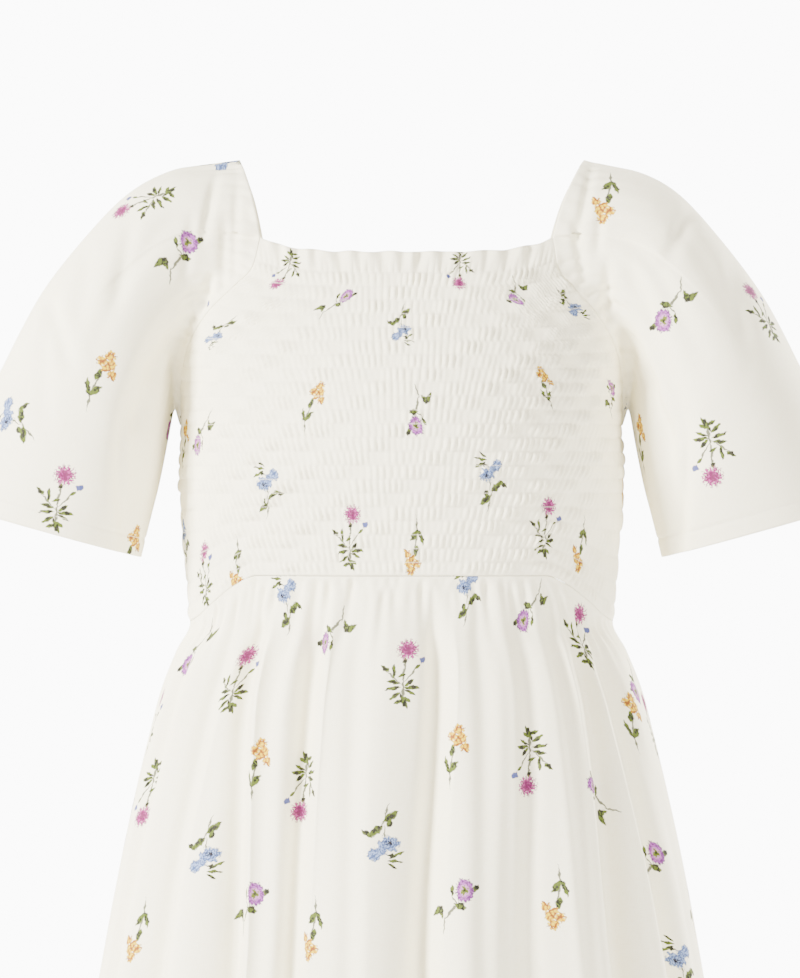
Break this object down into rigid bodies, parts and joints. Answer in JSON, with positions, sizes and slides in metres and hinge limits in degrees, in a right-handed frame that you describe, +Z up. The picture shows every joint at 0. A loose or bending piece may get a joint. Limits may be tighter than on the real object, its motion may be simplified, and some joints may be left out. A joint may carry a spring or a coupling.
{
  "type": "smocked dress",
  "caption": "Worn dress with a shirred bodice, square frilled neck, wide puffed raglan sleeves and a long gathered skirt in a small flower print.",
  "frame": {"origin": "midway between the tops of the two shoulders, where the wearer holds the dress up", "axes": "+X to the right of the picture (the wearer's left), +Y towards the back of the dress, +Z up from hem to shoulders"},
  "size_m": [0.822, 0.529, 1.12],
  "materials": {
    "bodice_front_cloth": "matt woven cloth, warm white with a small flower print",
    "bodice_back_cloth": "matt woven cloth, warm white with a small flower print",
    "sleeve_left_cloth": "matt woven cloth, warm white with a small flower print",
    "sleeve_right_cloth": "matt woven cloth, warm white with a small flower print",
    "skirt_front_cloth": "matt woven cloth, warm white with a small flower print",
    "skirt_back_cloth": "matt woven cloth, warm white with a small flower print"
  },
  "bodies": {
    "root": {"bodice_front": "bodice_front_cloth", "bodice_back": "bodice_back_cloth", "sleeve_left": "sleeve_left_cloth", "sleeve_right": "sleeve_right_cloth", "skirt_front": "skirt_front_cloth", "skirt_back": "skirt_back_cloth"}
  },
  "joints": []
}
